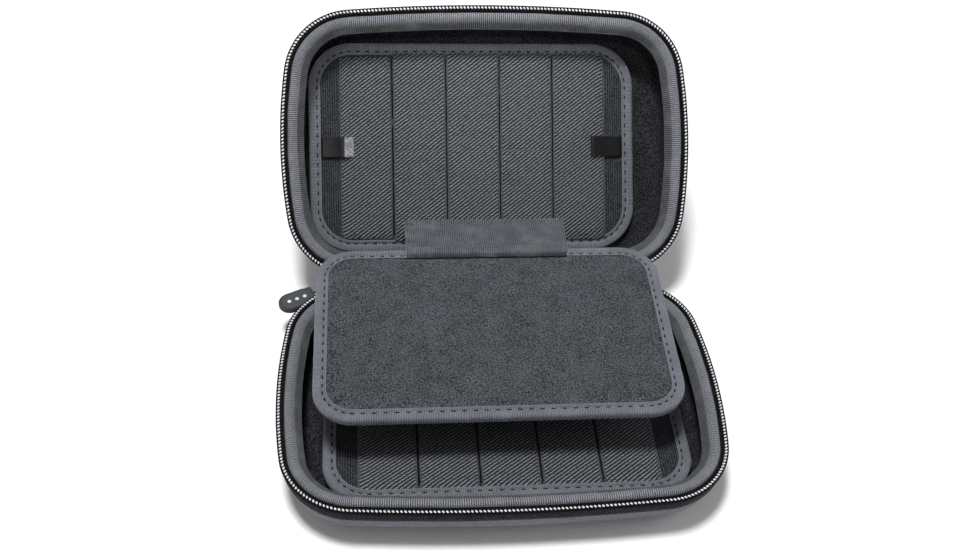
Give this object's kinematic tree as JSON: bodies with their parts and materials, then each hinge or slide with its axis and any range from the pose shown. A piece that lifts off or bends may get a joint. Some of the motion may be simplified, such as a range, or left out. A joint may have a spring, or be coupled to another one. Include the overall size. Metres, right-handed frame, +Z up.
{
  "type": "zip-closed hard case",
  "caption": "Small zip-closed semi-rigid case, open, with elastic-banded panels in both halves, a divider flap on a ribbed tape, a fabric hinge and a zip slider with a puller",
  "frame": {"origin": "centre of the flat underside of the base, on the surface it stands on", "axes": "+X to the right seen from the front, +Y towards the hinge at the back, +Z up"},
  "size_m": [0.2069, 0.2466, 0.1225],
  "materials": {
    "shell": "fabric bonded to a moulded foam shell",
    "lining": "velour",
    "core": "soft foam cord",
    "binding": "ribbed grosgrain",
    "edge_binding": "ribbed grosgrain",
    "zip_teeth": "moulded coil",
    "webbing": "woven tape",
    "slider_metal": "black enamel",
    "board": "plain board",
    "felt": "short felt",
    "elastic": "twill elastic",
    "ribbon": "satin ribbon",
    "ribbed_tape": "ribbed tape",
    "puller_rubber": "moulded rubber"
  },
  "bodies": {
    "base": {"base_shell": "shell", "base_lining": "lining", "base_rim_binding": "binding", "base_rim_piping": "core", "base_zip_tape": "webbing", "base_zip_coil": "zip_teeth", "base_zip_stops": "slider_metal", "base_panel_board": "board", "base_panel_binding": "edge_binding", "base_panel_felt": "felt", "base_elastic_band_1": "elastic", "base_elastic_band_2": "elastic", "base_elastic_band_3": "elastic", "base_elastic_band_4": "elastic", "base_elastic_band_5": "elastic", "hinge_leaf_base": "webbing", "hinge_fold": "webbing"},
    "lid": {"lid_shell": "shell", "lid_lining": "lining", "lid_rim_binding": "binding", "lid_rim_piping": "core", "lid_zip_tape": "webbing", "lid_zip_coil": "zip_teeth", "lid_zip_stops": "slider_metal", "lid_panel_board": "board", "lid_panel_binding": "edge_binding", "lid_panel_felt": "felt", "lid_elastic_band_1": "elastic", "lid_elastic_band_2": "elastic", "lid_elastic_band_3": "elastic", "lid_elastic_band_4": "elastic", "lid_elastic_band_5": "elastic", "hinge_leaf_lid": "webbing", "hinge_tape_upper": "ribbed_tape"},
    "flap": {"flap_board": "board", "flap_binding": "edge_binding", "flap_felt_top": "felt", "flap_felt_bottom": "felt", "hinge_tape_lower": "ribbed_tape", "hinge_tape_fold": "ribbed_tape"},
    "ribbon_left": {"ribbon_tab_left": "ribbon"},
    "ribbon_right": {"ribbon_tab_right": "ribbon"},
    "slider": {"slider_body": "slider_metal", "slider_bridge": "slider_metal"},
    "puller": {"pull_link": "slider_metal", "pull_tab": "puller_rubber"}
  },
  "joints": [
    {"name": "lid_hinge", "type": "hinge", "parent": "base", "child": "lid", "pos_m": [0, 0.0688, 0.027], "axis": [-1, 0, 0], "range_deg": [-134.7, 45.3]},
    {"name": "flap_fold", "type": "hinge", "parent": "lid", "child": "flap", "pos_m": [0, 0.07687, 0.03956], "axis": [-1, 0, 0], "range_deg": [-45.3, 134.7]},
    {"name": "ribbon_left_bend", "type": "hinge", "parent": "lid", "child": "ribbon_left", "pos_m": [-0.0833, 0.13117, 0.05954], "axis": [0, -0.7034, -0.7108], "range_deg": [0, 100]},
    {"name": "ribbon_right_bend", "type": "hinge", "parent": "lid", "child": "ribbon_right", "pos_m": [0.0723, 0.13117, 0.05954], "axis": [0, 0.7034, 0.7108], "range_deg": [0, 100]},
    {"name": "slider_travel", "type": "hinge", "parent": "base", "child": "slider", "pos_m": [-0.066, 0.0332, 0.027], "axis": [0, 0, 1], "range_deg": [-14, 42]},
    {"name": "pull_swing", "type": "hinge", "parent": "slider", "child": "puller", "pos_m": [-0.08192, 0.06897, 0.027], "axis": [0, 0, 1], "range_deg": [-70, 0]}
  ],
  "couplings": [
    {"joint": "flap_fold", "follows": "lid_hinge", "ratio": -1}
  ]
}
